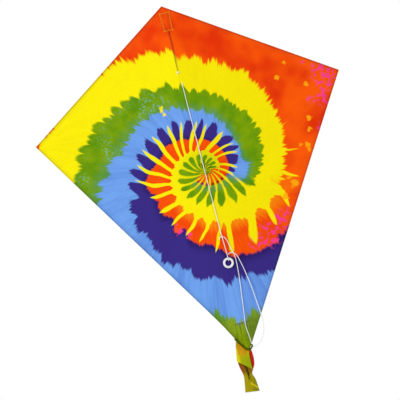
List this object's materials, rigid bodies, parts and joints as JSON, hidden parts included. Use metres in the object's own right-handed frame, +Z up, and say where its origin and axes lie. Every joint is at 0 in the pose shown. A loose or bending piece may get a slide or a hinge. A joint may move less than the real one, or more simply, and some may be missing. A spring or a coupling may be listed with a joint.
{
  "type": "diamond kite",
  "caption": "Diamond kite with a tie-dye print sail, crossed rods in a centre fitting, folding wings, a line bridle with a tow ring, and a short swinging tail.",
  "frame": {"origin": "centre of the flat back face of the centre fitting, where the spine and the spreaders cross", "axes": "+Z up along the spine to the nose, -Y out of the front of the sail on the bridle side, +X to the right as seen from the front"},
  "size_m": [0.7564, 0.0647, 0.956],
  "materials": {
    "sail_cloth": "printed polyester taffeta, tie-dye spiral",
    "hem_tape": "turned and stitched hem of the printed cloth",
    "pocket_cloth": "doubled printed cloth, stitched round",
    "tail_cloth": "strip of the printed cloth, satin side out",
    "bridle_line": "white braided polyester line",
    "fibreglass": "black pultruded fibreglass rod",
    "black_vinyl": "soft black vinyl",
    "ring_plastic": "white moulded plastic, satin"
  },
  "bodies": {
    "spine": {"spine_rod": "fibreglass", "spine_cap_top": "black_vinyl", "spine_cap_bottom": "black_vinyl", "centre_fitting": "black_vinyl", "stopper_above": "black_vinyl", "stopper_below": "black_vinyl", "sail_centre_strip": "sail_cloth", "nose_pocket": "pocket_cloth", "tail_pocket": "pocket_cloth", "tail_tab": "pocket_cloth", "bridle_top_knot": "bridle_line", "bridle_spine_hitch": "bridle_line", "bridle_upper_line": "bridle_line", "slip_knot": "bridle_line", "slip_knot_tag": "bridle_line", "bridle_ring_loop": "bridle_line", "bridle_slack_strand": "bridle_line", "bridle_lower_line": "bridle_line", "bridle_tail_knot": "bridle_line", "bridle_tail_loop": "bridle_line"},
    "left_wing": {"sail_left_panel": "sail_cloth", "left_leading_hem": "hem_tape", "left_trailing_hem": "hem_tape", "left_tip_pocket": "pocket_cloth", "left_spreader_rod": "fibreglass", "left_spreader_cap": "black_vinyl", "left_fitting_socket": "black_vinyl"},
    "right_wing": {"sail_right_panel": "sail_cloth", "right_leading_hem": "hem_tape", "right_trailing_hem": "hem_tape", "right_tip_pocket": "pocket_cloth", "right_spreader_rod": "fibreglass", "right_spreader_cap": "black_vinyl", "right_fitting_socket": "black_vinyl"},
    "tow_ring": {"tow_ring": "ring_plastic"},
    "tail_tie": {"tail_tie": "bridle_line"},
    "tail": {"tail_streamer_front": "tail_cloth", "tail_streamer_back": "tail_cloth"}
  },
  "joints": [
    {"name": "left_wing_fold", "type": "hinge", "parent": "spine", "child": "left_wing", "pos_m": [-0.012, -0.0055, 0], "axis": [0, 0, -1], "range_deg": [0, 80]},
    {"name": "right_wing_fold", "type": "hinge", "parent": "spine", "child": "right_wing", "pos_m": [0.012, -0.0055, 0], "axis": [0, 0, 1], "range_deg": [0, 80]},
    {"name": "tow_ring_swing", "type": "hinge", "parent": "spine", "child": "tow_ring", "pos_m": [0.0036, -0.017, -0.37565], "axis": [-1, 0, 0], "range_deg": [0, 90]},
    {"name": "tail_swing", "type": "hinge", "parent": "spine", "child": "tail_tie", "pos_m": [-0.011, -0.0012, -0.5808], "axis": [0, 1, 0], "range_deg": [-40, 40]},
    {"name": "tail_lift", "type": "hinge", "parent": "tail_tie", "child": "tail", "pos_m": [-0.011, -0.0012, -0.5808], "axis": [1, 0, 0], "range_deg": [0, 70]}
  ]
}
